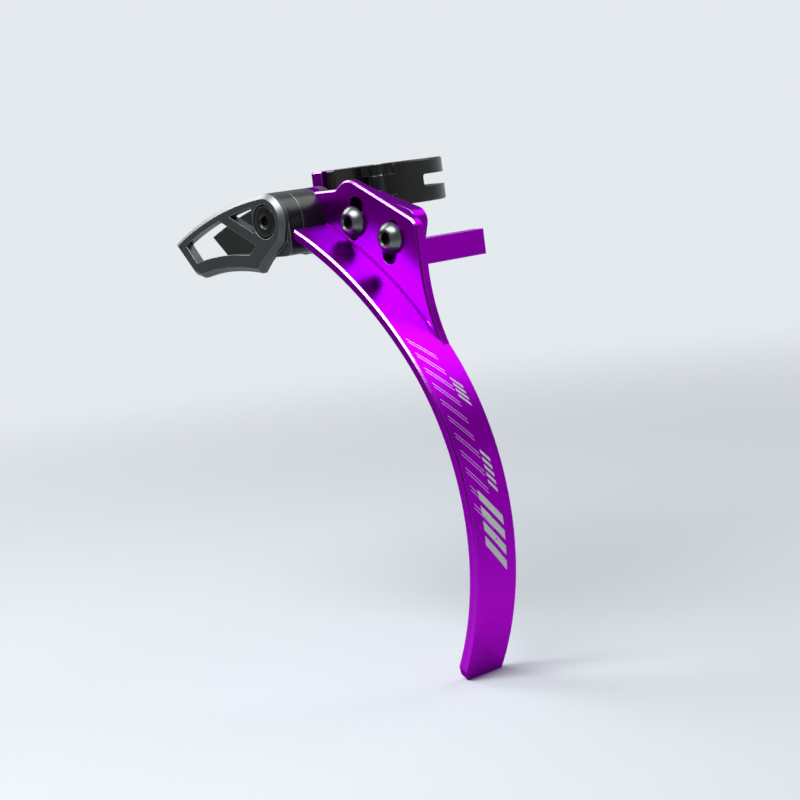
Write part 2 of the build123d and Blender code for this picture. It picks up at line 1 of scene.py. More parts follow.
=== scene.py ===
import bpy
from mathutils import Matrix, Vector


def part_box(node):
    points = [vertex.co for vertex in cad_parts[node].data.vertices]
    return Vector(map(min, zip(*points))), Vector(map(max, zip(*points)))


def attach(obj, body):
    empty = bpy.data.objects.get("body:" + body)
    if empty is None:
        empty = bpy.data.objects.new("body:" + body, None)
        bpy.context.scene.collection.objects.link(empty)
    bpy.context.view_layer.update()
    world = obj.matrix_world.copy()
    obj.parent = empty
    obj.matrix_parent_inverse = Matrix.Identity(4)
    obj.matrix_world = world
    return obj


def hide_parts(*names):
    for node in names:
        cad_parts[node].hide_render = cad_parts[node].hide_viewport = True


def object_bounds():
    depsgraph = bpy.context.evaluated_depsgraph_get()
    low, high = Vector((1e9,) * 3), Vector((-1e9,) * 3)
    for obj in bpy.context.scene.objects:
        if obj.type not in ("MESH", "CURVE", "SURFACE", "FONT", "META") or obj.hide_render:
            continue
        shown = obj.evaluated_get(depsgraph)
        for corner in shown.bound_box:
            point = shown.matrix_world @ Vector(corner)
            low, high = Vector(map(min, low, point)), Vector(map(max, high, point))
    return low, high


bl_info = {
    "name": "Bicycle Chain Guide",
    "version": (1, 0, 0),
    "blender": (4, 5, 0),
    "location": "View3D > Sidebar > Chain Guide",
    "description": "Finishes, fasteners, cage plates, stage and camera for a seat tube chain guide",
    "category": "Object",
}

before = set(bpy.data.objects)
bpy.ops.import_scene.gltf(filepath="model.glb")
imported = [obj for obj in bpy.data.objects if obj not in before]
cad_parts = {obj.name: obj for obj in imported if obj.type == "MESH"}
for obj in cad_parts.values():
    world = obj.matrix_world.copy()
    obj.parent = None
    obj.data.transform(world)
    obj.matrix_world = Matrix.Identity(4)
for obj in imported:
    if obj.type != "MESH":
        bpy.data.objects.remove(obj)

from math import atan2, cos, hypot, pi, radians, sin, sqrt

import bpy
from bpy.props import FloatProperty, FloatVectorProperty, IntProperty, PointerProperty
from bpy.types import Operator, Panel, PropertyGroup
from mathutils import Matrix, Vector

CAD_BOX = [list(corner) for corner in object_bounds()]
BODY = "root"
MM = 0.001

# The arc of the guard band, seen from the side
RING_AXIS_X = 5.85 * MM
RING_AXIS_Z = -89.2 * MM
BAND_RADIUS = 80.0 * MM

# The bolt across the clamp's ears: its azimuth, its distance from the seat tube's axis, and how
# far the outer face of each ear stands from the middle of the gap
CLOSING_AZIMUTH = radians(136.5)
CLOSING_REACH = 25.25 * MM
EAR_FACE = 5.6 * MM

# The guard bolts in the CAD frame: half the width of a head, and its height
GUARD_BOLT_INSET = 4.6 * MM
GUARD_BOLT_HEAD = 2.9 * MM

# Thicknesses of the guard's face plate and of the boss on the outer cage plate
FACE_PLATE = 3.2 * MM
CAGE_BOSS = 4.7 * MM

# Faces across the bicycle
BAND_OUTER_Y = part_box("chain_guard")[0].y
PLATE_FACE_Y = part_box("chain_guard")[1].y - FACE_PLATE
CAGE_BOSS_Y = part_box("cage_spacer")[0].y
CAGE_BACK_Y = CAGE_BOSS_Y - CAGE_BOSS
CAGE_OUTER_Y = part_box("cage_outer_plate")[0].y
FLOOR_Z = CAD_BOX[0][2]

# Radii of the threads, of the hole for the larger one and of the recess for a flush head
M5 = 2.5 * MM
M4 = 2.0 * MM
M5_HOLE = 2.65 * MM
HEAD_HOLE = 4.75 * MM

NUT_FLATS = 8.0 * MM
NUT_HEIGHT = 4.0 * MM
WASHER = 1.0 * MM
CAGE_HEAD_RADIUS = 7.5 * MM

# How far a cutting form reaches past the face that it cuts
PAST = 0.1 * MM
KEY_PAST = 0.2 * MM

SMOOTH_ANGLE = radians(32.0)
NEARLY_STRAIGHT = radians(165.0)
SAME_POINT = 0.001 * MM

# Tones beside the colours that a user would change
PURPLE_GLANCE = (0.45, 0.02, 0.60)
CLAMP_CLOUD = (0.038, 0.038, 0.035)
# Lighter tone of the clamp's edges: wear and a painted highlight
CLAMP_EDGE_WEAR_AND_HIGHLIGHT = (0.26, 0.26, 0.25)
CAGE_CLOUD = (0.060, 0.064, 0.064)
# Painted shade of the boss and the pieces behind the outer cage plate
CAGE_BOSS_SHADE = (0.030, 0.031, 0.030)
# Painted highlight on the cage's bevels that look up
CAGE_BEVEL_HIGHLIGHT = (0.30, 0.32, 0.32)
# Lighter tone of the cage's edges: wear and a painted highlight
CAGE_EDGE_WEAR_AND_HIGHLIGHT = (0.42, 0.44, 0.44)
PIN_STEEL = (0.50, 0.49, 0.48)
# Painted shade inside the key sockets
KEY_SOCKET_SHADE = (0.012, 0.012, 0.012)
FLOOR_CLOUD = (0.52, 0.55, 0.58)

# Heights between which the purple turns from light at the head to deep, and light again at the end,
# as painted shade and painted light
SHOULDER_Z = (2.0 * MM, -20.0 * MM)
LOWER_END_Z = (-75.0 * MM, -128.0 * MM)

# Lamps: name, place, width, height and share of the lamp power
LAMPS = (
    ("back", (-0.54, -0.10, 0.40), 0.45, 0.45, 1.0),
    ("inboard", (0.24, 0.50, 0.48), 0.52, 0.52, 0.62),
    ("over", (0.074, -0.371, 0.389), 0.55, 0.30, 1.50),
)
LAMP_TARGET = Vector((0.03, -0.03, -0.04))

CAMERA_PLACE = Vector((442.01, -406.48, 8.46)) * MM
CAMERA_RIGHT = Vector((0.6805, 0.7217, -0.1266))
CAMERA_UP = Vector((-0.0036, 0.1761, 0.9844))
SENSOR_WIDTH = 36.0


# Sizes and colours that a user would change

class StageSizes(PropertyGroup):
    """Floor, background, lamps and camera."""
    floor_radius: FloatProperty(
        name="Floor radius", description="Where the floor has faded out",
        default=0.75, min=0.2, unit="LENGTH")
    floor_colour: FloatVectorProperty(
        name="Floor", description="Colour of the floor",
        subtype="COLOR", default=(0.55, 0.58, 0.61), min=0.0, max=1.0)
    background: FloatVectorProperty(
        name="Background", description="Colour behind the part",
        subtype="COLOR", default=(0.78, 0.82, 0.86), min=0.0, max=1.0)
    fill_light: FloatProperty(
        name="Fill light", description="Strength of the even light from all round",
        default=0.34, min=0.0)
    lamp_power: FloatProperty(
        name="Lamps", description="Power of the lamp above and behind the part",
        default=2.6, min=0.0, unit="POWER")
    lens: FloatProperty(
        name="Lens", description="Focal length on a 36 mm sensor",
        default=89.02, min=1.0)


class AnodisedColours(PropertyGroup):
    """Anodised finishes of the guard, the bracket, the clamp and the cage."""
    purple: FloatVectorProperty(
        name="Purple", description="Anodised guard and bracket",
        subtype="COLOR", default=(0.34, 0.0, 0.48), min=0.0, max=1.0)
    # Painted shade: darker purple put at the top of the guard and in the crease
    purple_shaded: FloatVectorProperty(
        name="Deep purple", description="Where the dye lies thicker",
        subtype="COLOR", default=(0.22, 0.0, 0.32), min=0.0, max=1.0)
    # Painted light: lighter purple put at the lower end of the band
    purple_lit_end: FloatVectorProperty(
        name="Light purple", description="Lower end of the band",
        subtype="COLOR", default=(0.52, 0.015, 0.66), min=0.0, max=1.0)
    # Painted highlight on chamfers and edges that look up
    purple_highlight: FloatVectorProperty(
        name="Bright edge", description="Chamfers cut bright",
        subtype="COLOR", default=(0.66, 0.33, 0.76), min=0.0, max=1.0)
    black: FloatVectorProperty(
        name="Black", description="Anodised clamp",
        subtype="COLOR", default=(0.022, 0.022, 0.021), min=0.0, max=1.0)
    grey: FloatVectorProperty(
        name="Cage grey", description="Anodised cage",
        subtype="COLOR", default=(0.080, 0.084, 0.085), min=0.0, max=1.0)
    grain: FloatProperty(
        name="Grain", description="Size of the etched grain",
        default=0.00025, min=0.00001, unit="LENGTH", precision=6)


class PrintSizes(PropertyGroup):
    """Plain slanted stripes printed on the band."""
    ink: FloatVectorProperty(
        name="Ink", description="Pale ink of the broad stripes",
        subtype="COLOR", default=(0.55, 0.60, 0.54), min=0.0, max=1.0)
    line_ink: FloatVectorProperty(
        name="Line ink", description="Colour of the thin lines",
        subtype="COLOR", default=(0.70, 0.42, 0.78), min=0.0, max=1.0)
    pitch: FloatProperty(
        name="Pitch", description="Distance from one broad stripe to the next",
        default=0.0040, min=0.0005, unit="LENGTH", precision=5)
    line_pitch: FloatProperty(
        name="Line pitch", description="Distance from one thin line to the next",
        default=0.0047, min=0.0005, unit="LENGTH", precision=5)
    slant: FloatProperty(
        name="Slant", description="Run along the band for each step across it", default=1.15)


class FastenerSizes(PropertyGroup):
    """Bolts, nuts and washer."""
    thread_pitch: FloatProperty(
        name="Thread pitch", description="Pitch of every thread",
        default=0.0008, min=0.0002, unit="LENGTH", precision=5)
    steps: IntProperty(
        name="Steps", description="Flat sides round a turned form", default=72, min=24)
    steel: FloatVectorProperty(
        name="Steel", description="Satin bolts",
        subtype="COLOR", default=(0.165, 0.18, 0.175), min=0.0, max=1.0)
    black_oxide: FloatVectorProperty(
        name="Black oxide", description="Bolt of the cage",
        subtype="COLOR", default=(0.040, 0.042, 0.040), min=0.0, max=1.0)


# Shader maths

class Socket:
    """An output socket that takes part in Python sums."""

    def __init__(self, nodes, link):
        self.nodes = nodes
        self.link = link

    def maths(self, operation, *terms):
        node = self.nodes.node("ShaderNodeMath", dict(operation=operation), dict(enumerate(terms)))
        return self.nodes.out(node)

    def __add__(self, other):
        return self.maths("ADD", self, other)

    __radd__ = __add__

    def __sub__(self, other):
        return self.maths("SUBTRACT", self, other)

    def __rsub__(self, other):
        return self.maths("SUBTRACT", other, self)

    def __mul__(self, other):
        return self.maths("MULTIPLY", self, other)

    __rmul__ = __mul__

    def __truediv__(self, other):
        return self.maths("DIVIDE", self, other)

    def __pow__(self, other):
        return self.maths("POWER", self, other)

    def __gt__(self, other):
        return self.maths("GREATER_THAN", self, other)

    def __lt__(self, other):
        return self.maths("LESS_THAN", self, other)

    def __or__(self, other):
        return self.maths("MAXIMUM", self, other)

    def __abs__(self):
        return self.maths("ABSOLUTE", self)


class Nodes:
    """Adds nodes to the tree of a material or of the world."""

    def __init__(self, tree):
        self.tree = tree
        self.tree.nodes.clear()

    def node(self, kind, settings=None, values=None):
        """Add a node, give it its settings, then the values or links of its sockets."""
        made = self.tree.nodes.new(kind)
        for name, value in (settings or {}).items():
            setattr(made, name, value)
        for name, value in (values or {}).items():
            socket = made.inputs[name]
            if isinstance(value, Socket):
                self.tree.links.new(value.link, socket)
            elif socket.type == "RGBA":
                socket.default_value = (*value, 1.0)
            else:
                socket.default_value = value
        return made

    def out(self, node, name=0):
        return Socket(self, node.outputs[name])

    def apart(self, vector):
        """X, Y and Z of a vector."""
        parts = self.node("ShaderNodeSeparateXYZ", None, {0: vector})
        return [self.out(parts, axis) for axis in "XYZ"]

    def blend(self, amount, first, second):
        """Mix two colours."""
        node = self.node("ShaderNodeMix", dict(data_type="RGBA"), {0: amount, 6: first, 7: second})
        return self.out(node, 2)

    def step(self, value, low, high):
        """0 at low, 1 at high, smooth between."""
        node = self.node("ShaderNodeMapRange", dict(interpolation_type="SMOOTHSTEP"),
                         {"Value": value, "From Min": low, "From Max": high})
        return self.out(node)


class Finish(Nodes):
    """One procedural material."""

    def __init__(self, name):
        self.material = bpy.data.materials.new(name)
        self.material.use_nodes = True
        super().__init__(self.material.node_tree)
        self.coordinates = self.out(self.node("ShaderNodeTexCoord"), "Object")
        self.x, self.y, self.z = self.apart(self.coordinates)

    def noise(self, size, detail, stretch=(1.0, 1.0, 1.0)):
        """Noise from 0 to 1 with lumps of a given size in metres."""
        scaled = self.node("ShaderNodeMapping", None,
                           {"Vector": self.coordinates, "Scale": stretch})
        noise = self.node("ShaderNodeTexNoise", None,
                          {"Vector": self.out(scaled), "Scale": 1.0 / size, "Detail": detail})
        return self.out(noise, "Fac")

    def chamfers(self):
        """1 on faces that slant towards a side of the bicycle, and how far each face looks up."""
        normal = self.out(self.node("ShaderNodeNewGeometry"), "True Normal")
        _, side, up = self.apart(normal)
        return (abs(side) > 0.25) * (abs(side) < 0.95), up

    def edges(self, radius):
        """1 on edges and 0 on flat faces, with a normal rounded over the edges."""
        rounded = self.out(self.node("ShaderNodeBevel", dict(samples=6), {"Radius": radius}))
        normal = self.out(self.node("ShaderNodeNewGeometry"), "Normal")
        dot = self.node("ShaderNodeVectorMath", dict(operation="DOT_PRODUCT"),
                        {0: rounded, 1: normal})
        return self.step(1.0 - self.out(dot, "Value"), 0.01, 0.12), rounded

    def bump(self, height, distance, strength, normal):
        return self.out(self.node("ShaderNodeBump", None, {
            "Height": height, "Distance": distance, "Strength": strength, "Normal": normal}))

    def surface(self, values):
        """Principled shader with the given sockets, wired to the output."""
        shader = self.node("ShaderNodeBsdfPrincipled", None, values)
        self.node("ShaderNodeOutputMaterial", None, {"Surface": self.out(shader)})
        return self.material


def from_axis(aside, up):
    """Distance from an axis, out of two sockets square to it."""
    return (aside * aside + up * up) ** 0.5


# Finishes

def band_places(finish):
    """Distance along the band's arc and across it from its outboard rim, and 1 on its outside."""
    side, up = finish.x - RING_AXIS_X, finish.z - RING_AXIS_Z
    angle = up.maths("ARCTAN2", up, side)
    outside = from_axis(side, up) > BAND_RADIUS - 0.2 * MM
    return angle * BAND_RADIUS, finish.y - BAND_OUTER_Y, outside


def stripes(places, slant, start, count, pitch, share, low, high):
    """Mask of a group of slanted stripes, which start at one distance along the band, in
    millimetres, fill a share of their pitch, and lie between two distances across it."""
    along, across, outside = places
    beat = (start * MM - along - across * slant) / pitch
    bars = beat.maths("FRACT", beat) < share
    within = (across > low * MM) * (across < high * MM)
    return bars * (beat > 0.0) * (beat < count) * within * outside


def printed_stripes(finish, sizes):
    """Masks of the broad stripes and of the thin lines printed on the band."""
    places = band_places(finish)

    def broad(start, count, pitch, share, low, high):
        return stripes(places, sizes.slant, start, count, pitch * sizes.pitch, share, low, high)

    def thin(start):
        return stripes(places, sizes.slant, start, count=11.0, pitch=sizes.line_pitch, share=0.06,
                       low=2.0, high=8.0)

    bars = (broad(start=51.0, count=4.0, pitch=0.42, share=0.50, low=8.6, high=11.4)
            | broad(start=30.5, count=5.0, pitch=0.50, share=0.50, low=8.6, high=11.2)
            | broad(start=15.5, count=4.0, pitch=1.0, share=0.62, low=4.2, high=11.4))
    lines = thin(start=57.0) | thin(start=55.9)
    return bars, lines * (1.0 - bars)


def purple_anodised(name, colours, edge_radius, sizes=None):
    """Satin purple with painted shade and painted light, painted highlights on chamfers and edges,
    and with printed stripes where sizes are given.
    """
    finish = Finish(name)
    # Painted shade and painted light: the purple is darker towards the top and lighter at the lower
    # end, with random tone from the cloud
    low = finish.step(finish.z, *SHOULDER_Z)
    cloud = finish.noise(16 * MM, detail=1.0)
    colour = finish.blend(0.75 * low + 0.25 * cloud, colours.purple_shaded, colours.purple)
    colour = finish.blend(0.8 * finish.step(finish.z, *LOWER_END_Z), colour, colours.purple_lit_end)

    # Chamfers at the rims get a painted highlight where they look up, and the crease between the
    # face plate and the band gets painted shade and is rougher
    slanting, up = finish.chamfers()
    at_rim = (finish.y < BAND_OUTER_Y + 0.8 * MM) | (finish.y > PLATE_FACE_Y - 0.05 * MM)
    chamfer_highlight = slanting * at_rim * 0.9 * finish.step(up, 0.30, 0.44)
    colour = finish.blend(chamfer_highlight, colour, colours.purple_highlight)
    # Painted shade: the crease is darkened towards the shaded purple
    crease = slanting * (1.0 - at_rim)
    colour = finish.blend(crease * 0.8, colour, colours.purple_shaded)
    edge, rounded = finish.edges(edge_radius)
    # Painted highlight: edges that face sideways to up are lightened
    edge_wear_and_highlight = edge * finish.step(up, -0.3, 0.3) * (1.0 - crease) * 0.5
    colour = finish.blend(edge_wear_and_highlight, colour, colours.purple_highlight)

    grain = finish.noise(colours.grain, detail=3.0)
    tooling = finish.noise(0.35 * MM, detail=2.0, stretch=(1.0, 0.05, 1.0))
    rough = 0.23 + 0.05 * grain + 0.04 * tooling + 0.4 * crease
    metal = 0.96
    if sizes is not None:
        broad, lines = printed_stripes(finish, sizes)
        worn = finish.step(finish.noise(0.9 * MM, detail=4.0), 0.28, 0.34)
        broad = broad * worn
        colour = finish.blend(lines * 0.85, colour, sizes.line_ink)
        colour = finish.blend(broad, colour, sizes.ink)
        rough = rough + 0.25 * broad
        metal = metal - 0.9 * broad - 0.4 * lines
    normal = finish.bump(grain, distance=0.003 * MM, strength=0.5, normal=rounded)
    normal = finish.bump(tooling, distance=0.005 * MM, strength=0.4, normal=normal)
    return finish.surface({"Base Color": colour, "Metallic": metal, "Roughness": rough,
                           "Normal": normal, "Specular Tint": PURPLE_GLANCE})


def black_anodised(colours):
    """Satin black of the clamp, turned round the seat tube."""
    finish = Finish("black_anodised")
    edge, rounded = finish.edges(0.3 * MM)
    grain = finish.noise(colours.grain, detail=3.0)
    turning = finish.noise(0.3 * MM, detail=2.0, stretch=(0.04, 0.04, 1.0))
    cloud = finish.noise(9 * MM, detail=2.0)
    edge_wear_and_highlight = finish.step(finish.noise(1.6 * MM, detail=4.0), 0.45, 0.75)
    colour = finish.blend(cloud * 0.6, colours.black, CLAMP_CLOUD)
    # Edges lighter: random wear, plus a painted highlight along every edge
    colour = finish.blend(edge * (0.25 + 0.5 * edge_wear_and_highlight), colour, CLAMP_EDGE_WEAR_AND_HIGHLIGHT)
    normal = finish.bump(grain, distance=0.004 * MM, strength=0.6, normal=rounded)
    normal = finish.bump(turning, distance=0.006 * MM, strength=0.4, normal=normal)
    return finish.surface({"Base Color": colour, "Metallic": 0.8,
                           "Roughness": 0.20 + 0.08 * grain + 0.06 * turning, "Normal": normal})


def cage_grey(name, colours):
    """Etched grey of the cage, with painted shade on the boss and the pieces behind the outer
    plate, and painted highlights on its bevels and edges.
    """
    finish = Finish(name)
    edge, rounded = finish.edges(0.3 * MM)
    grain = finish.noise(colours.grain, detail=4.0)
    cloud = finish.noise(11 * MM, detail=2.0)
    edge_wear_and_highlight = finish.step(finish.noise(1.3 * MM, detail=4.0), 0.40, 0.75)
    # Painted shade: darker on the boss and the pieces behind the outer plate
    behind = finish.step(finish.y, CAGE_BACK_Y - 0.1 * MM, CAGE_BACK_Y + 0.05 * MM)
    colour = finish.blend(cloud * 0.7, colours.grey, CAGE_CLOUD)
    colour = finish.blend(behind * 0.7, colour, CAGE_BOSS_SHADE)
    slanting, up = finish.chamfers()
    # Painted highlight: bevels lighter where they look up
    colour = finish.blend(slanting * finish.step(up, -0.5, 0.5) * 0.42, colour, CAGE_BEVEL_HIGHLIGHT)
    # Edges lighter: random wear, plus a painted highlight along every edge
    colour = finish.blend(edge * (0.35 + 0.4 * edge_wear_and_highlight), colour, CAGE_EDGE_WEAR_AND_HIGHLIGHT)
    normal = finish.bump(grain, distance=0.006 * MM, strength=0.8, normal=rounded)
    return finish.surface({"Base Color": colour, "Metallic": 0.85,
                           "Roughness": 0.34 + 0.10 * grain - 0.10 * behind, "Normal": normal})


def steel(name, colour, shade, roughness, sockets=()):
    """Steel with a fine grain, stains of a darker shade, and edges lighter as wear and as a painted
    highlight. Where places of key sockets are given, as X, Z and the Y of the head's face, those
    get painted shade inside."""
    finish = Finish(name)
    edge, rounded = finish.edges(0.12 * MM)
    grain = finish.noise(0.12 * MM, detail=3.0)
    stain = finish.noise(2.2 * MM, detail=3.0)
    dark = tuple(shade * part for part in colour)
    light = tuple(min(1.0, 1.5 * part + 0.05) for part in colour)
    tone = finish.blend(finish.step(stain, 0.35, 0.75) * 0.6, colour, dark)
    # Edges lighter: wear, and a painted highlight along every edge
    tone = finish.blend(edge * 0.5, tone, light)
    # Painted shade: darker deeper inside each key socket
    for x, z, face_y in sockets:
        within = from_axis(finish.x - x, finish.z - z) < 1.78 * MM
        depth = finish.step(finish.y, face_y + 0.1 * MM, face_y + 0.5 * MM)
        tone = finish.blend(within * depth * 0.85, tone, KEY_SOCKET_SHADE)
    normal = finish.bump(grain, distance=0.003 * MM, strength=0.5, normal=rounded)
    return finish.surface({"Base Color": tone, "Metallic": 1.0,
                           "Roughness": roughness + 0.06 * grain + 0.06 * stain,
                           "Normal": normal})


def give(node, material):
    """Put a material on a CAD node."""
    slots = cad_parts[node].data.materials
    slots.clear()
    slots.append(material)


class CHAINGUIDE_OT_finishes(Operator):
    """Give each machined piece its finish"""
    bl_idname = "chainguide.finishes"
    bl_label = "Machined Finishes"

    def execute(self, context):
        colours = context.scene.anodised_colours
        give("chain_guard", purple_anodised("purple_printed", colours, 0.25 * MM,
                                            context.scene.print_sizes))
        give("mounting_bracket", purple_anodised("purple_anodised", colours, 0.5 * MM))
        black = black_anodised(colours)
        for node in ("clamp_front_band", "clamp_rear_band"):
            give(node, black)
        give("hinge_pin", steel("pin_steel", PIN_STEEL, shade=0.7, roughness=0.3))
        return {"FINISHED"}


# Points and profiles

def mm(*values):
    return tuple(value * MM for value in values)


def arc(start, end, radius, steps):
    """Points on an outward arc from one point to another, the ends included."""
    wide, high = end[0] - start[0], end[1] - start[1]
    chord = hypot(wide, high)
    back = sqrt(radius * radius - chord * chord / 4.0) / chord
    middle = ((start[0] + end[0]) / 2.0 - high * back, (start[1] + end[1]) / 2.0 + wide * back)
    first = atan2(start[1] - middle[1], start[0] - middle[0])
    last = atan2(end[1] - middle[1], end[0] - middle[0])
    turns = [first + (last - first) * step / steps for step in range(steps + 1)]
    return [(middle[0] + radius * cos(turn), middle[1] + radius * sin(turn)) for turn in turns]


def around(centre, radius, degree):
    """Point round a centre."""
    return centre[0] + radius * cos(radians(degree)), centre[1] + radius * sin(radians(degree))


def eased(corners, cut):
    """Corners with each sharp turn rounded off, from a cut before it to as far behind it."""
    points = []
    for before, corner, after in zip(corners[-1:] + corners[:-1], corners,
                                     corners[1:] + corners[:1]):
        middle = Vector(corner)
        back, ahead = Vector(before) - middle, Vector(after) - middle
        if back.angle(ahead) > NEARLY_STRAIGHT:
            points.append(corner)
            continue
        start, end = middle + cut * back.normalized(), middle + cut * ahead.normalized()
        for share in (0.0, 0.25, 0.5, 0.75, 1.0):
            near = start.lerp(middle, share)
            points.append(tuple(near.lerp(middle.lerp(end, share), share)))
    return points


def both_ends(half, height):
    """Profile whose upper half mirrors its lower half."""
    return [*half, *((radius, height - level) for radius, level in reversed(half))]


def outboard(x, z, y):
    """Place of a form whose Z points outboard."""
    return Matrix.Translation((x, y, z)) @ Matrix.Rotation(pi / 2.0, 4, "X")


def inboard(y):
    """Place of a form whose Z points inboard."""
    return Matrix.Translation((0.0, y, 0.0)) @ Matrix.Rotation(-pi / 2.0, 4, "X")


# Modelling

def select_only(*pieces):
    bpy.ops.object.select_all(action="DESELECT")
    for piece in pieces:
        piece.select_set(True)
    bpy.context.view_layer.objects.active = pieces[0]


def turned(name, profile):
    """Turned form on Z: a filled circle drawn out ring by ring through (radius, height) pairs."""
    (radius, height), *rings = profile
    steps = bpy.context.scene.fastener_sizes.steps
    bpy.ops.object.select_all(action="DESELECT")
    bpy.ops.mesh.primitive_circle_add(vertices=steps, radius=radius, fill_type="NGON",
                                      location=(0.0, 0.0, height))
    bpy.ops.object.transform_apply()
    bpy.ops.object.mode_set(mode="EDIT")
    bpy.ops.mesh.select_all(action="SELECT")
    for wide, high in rings:
        bpy.ops.mesh.extrude_region_move(
            TRANSFORM_OT_translate={"value": (0.0, 0.0, high - height)})
        bpy.ops.transform.resize(value=(wide / radius, wide / radius, 1.0),
                                 center_override=(0.0, 0.0, high))
        radius, height = wide, high
    bpy.ops.mesh.select_all(action="SELECT")
    bpy.ops.mesh.normals_make_consistent(inside=False)
    bpy.ops.object.mode_set(mode="OBJECT")
    piece = bpy.context.object
    piece.name = name
    return piece


def hexagon(name, flats, low, high):
    """Six-sided prism on Z."""
    bpy.ops.object.select_all(action="DESELECT")
    bpy.ops.mesh.primitive_cylinder_add(vertices=6, radius=flats / sqrt(3.0), depth=high - low,
                                        location=(0.0, 0.0, (low + high) / 2.0))
    bpy.ops.object.transform_apply()
    bpy.context.object.name = name
    return bpy.context.object


def combine(piece, tool, operation):
    """Cut, join or intersect a form with another one, which is used up."""
    select_only(piece)
    bpy.ops.object.modifier_add(type="BOOLEAN")
    change = piece.modifiers[-1]
    change.operation = operation
    change.solver = "EXACT"
    change.object = tool
    bpy.ops.object.modifier_apply(modifier=change.name)
    bpy.data.objects.remove(tool)


def drawn(name, corners, height):
    """Flat face at a height, drawn from corner to corner."""
    bpy.ops.object.select_all(action="DESELECT")
    bpy.ops.mesh.primitive_plane_add(size=MM, location=(*corners[0], height))
    bpy.ops.object.transform_apply()
    bpy.context.object.name = name
    bpy.ops.object.mode_set(mode="EDIT")
    bpy.ops.mesh.select_mode(type="VERT")
    bpy.ops.mesh.select_all(action="SELECT")
    bpy.ops.mesh.merge(type="CENTER")
    for (x, z), (next_x, next_z) in zip(corners, (*corners[1:], corners[0])):
        bpy.ops.mesh.extrude_region_move(
            TRANSFORM_OT_translate={"value": (next_x - x, next_z - z, 0.0)})
    bpy.ops.mesh.select_all(action="SELECT")
    bpy.ops.mesh.remove_doubles(threshold=SAME_POINT)
    bpy.ops.mesh.edge_face_add()
    return bpy.context.object


def slab(name, corners, low, high, bevel=0.0):
    """Plate from low up to high, with the edges of its upper face bevelled."""
    piece = drawn(name, corners, low)
    bpy.ops.mesh.extrude_region_move(
        TRANSFORM_OT_translate={"value": (0.0, 0.0, high - bevel - low)})
    if bevel > 0.0:
        bpy.ops.mesh.inset(thickness=bevel, depth=0.0)
        bpy.ops.transform.translate(value=(0.0, 0.0, bevel))
    bpy.ops.mesh.select_all(action="SELECT")
    bpy.ops.mesh.normals_make_consistent(inside=False)
    bpy.ops.object.mode_set(mode="OBJECT")
    return piece


def thread(root, crest, low, high, chamfer):
    """Helical ridge on Z from low up to high, with its lower end run out over a chamfer."""
    crest_share, root_share, steps = 0.12, 0.86, 32
    pitch = bpy.context.scene.fastener_sizes.thread_pitch
    depth = crest - root
    start = (0.0, 0.0, low - pitch)
    bpy.ops.object.select_all(action="DESELECT")
    bpy.ops.mesh.primitive_plane_add(size=depth, location=(root + depth / 2.0, 0.0, low - pitch),
                                     rotation=(pi / 2.0, 0.0, 0.0))
    bpy.ops.object.transform_apply()
    ridge = bpy.context.object
    ridge.name = "ridge"
    for corner in ridge.data.vertices:
        corner.select = corner.co.x > root + depth / 2.0
    bpy.ops.object.mode_set(mode="EDIT")
    bpy.ops.mesh.select_mode(type="VERT")
    bpy.ops.transform.resize(value=(1.0, 1.0, crest_share * pitch / depth), center_override=start)
    bpy.ops.mesh.select_all(action="INVERT")
    bpy.ops.transform.resize(value=(1.0, 1.0, root_share * pitch / depth), center_override=start)
    bpy.ops.mesh.select_all(action="SELECT")
    bpy.ops.mesh.delete(type="ONLY_FACE")
    bpy.ops.object.mode_set(mode="OBJECT")
    bpy.ops.object.modifier_add(type="SCREW")
    screw = ridge.modifiers[-1]
    screw.screw_offset = pitch
    screw.iterations = int((high - low) / pitch) + 2
    screw.steps = steps
    screw.render_steps = steps
    bpy.ops.object.modifier_apply(modifier=screw.name)
    bpy.ops.object.mode_set(mode="EDIT")
    bpy.ops.mesh.select_all(action="SELECT")
    bpy.ops.mesh.fill_holes(sides=4)
    bpy.ops.mesh.select_all(action="SELECT")
    bpy.ops.mesh.normals_make_consistent(inside=False)
    bpy.ops.object.mode_set(mode="OBJECT")
    limit = turned("limit", [(crest - chamfer, low), (crest + PAST, low + chamfer),
                             (crest + PAST, high)])
    combine(ridge, limit, "INTERSECT")
    return ridge


def joined(piece, other):
    """Make one piece of two forms that reach into each other."""
    select_only(piece, other)
    bpy.ops.object.join()
    return piece


def threaded_rod(crest, low, high):
    """Bolt shank with a cut thread and a chamfered end at low."""
    root, chamfer, overlap = 0.82 * crest, 0.45 * MM, 0.05 * MM
    shank = turned("shank", [(root - 0.6 * chamfer, low), (root, low + 0.6 * chamfer),
                             (root, high)])
    return joined(shank, thread(root - overlap, crest, low, high, chamfer))


def bolt(head, face, key_flats, key_depth, crest, tip, shoulder):
    """Cut a key socket into the face of a turned head, and join it to a threaded rod that goes
    from its tip up to a shoulder inside the head."""
    key = hexagon("key", key_flats, face - key_depth, face + KEY_PAST)
    combine(head, key, "DIFFERENCE")
    return joined(head, threaded_rod(crest, tip, shoulder))


def nut(name, height):
    """Hexagon nut from Z 0 up to its height, with chamfered corners and hole."""
    corner = NUT_FLATS / sqrt(3.0)
    chamfer = 0.065 * corner + 0.3 * MM
    piece = hexagon(name, NUT_FLATS, 0.0, height)
    shape = both_ends([(NUT_FLATS / 2.0 - 0.1 * MM, 0.0), (corner, chamfer)], height)
    combine(piece, turned("nut_shape", shape), "INTERSECT")
    hole = both_ends([mm(2.9, -0.1), mm(2.8, 0.0), mm(2.25, 0.5)], height)
    combine(piece, turned("nut_hole", hole), "DIFFERENCE")
    return piece


def placed(piece, matrix, nodes, material):
    """Move a finished form to its place, smooth it, and tie it to the body, slot and nodes it
    stands for."""
    select_only(piece)
    piece.matrix_world = matrix
    bpy.ops.object.transform_apply()
    bpy.ops.object.shade_smooth_by_angle(angle=SMOOTH_ANGLE)
    piece.data.materials.clear()
    piece.data.materials.append(material)
    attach(piece, BODY)
    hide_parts(*nodes)


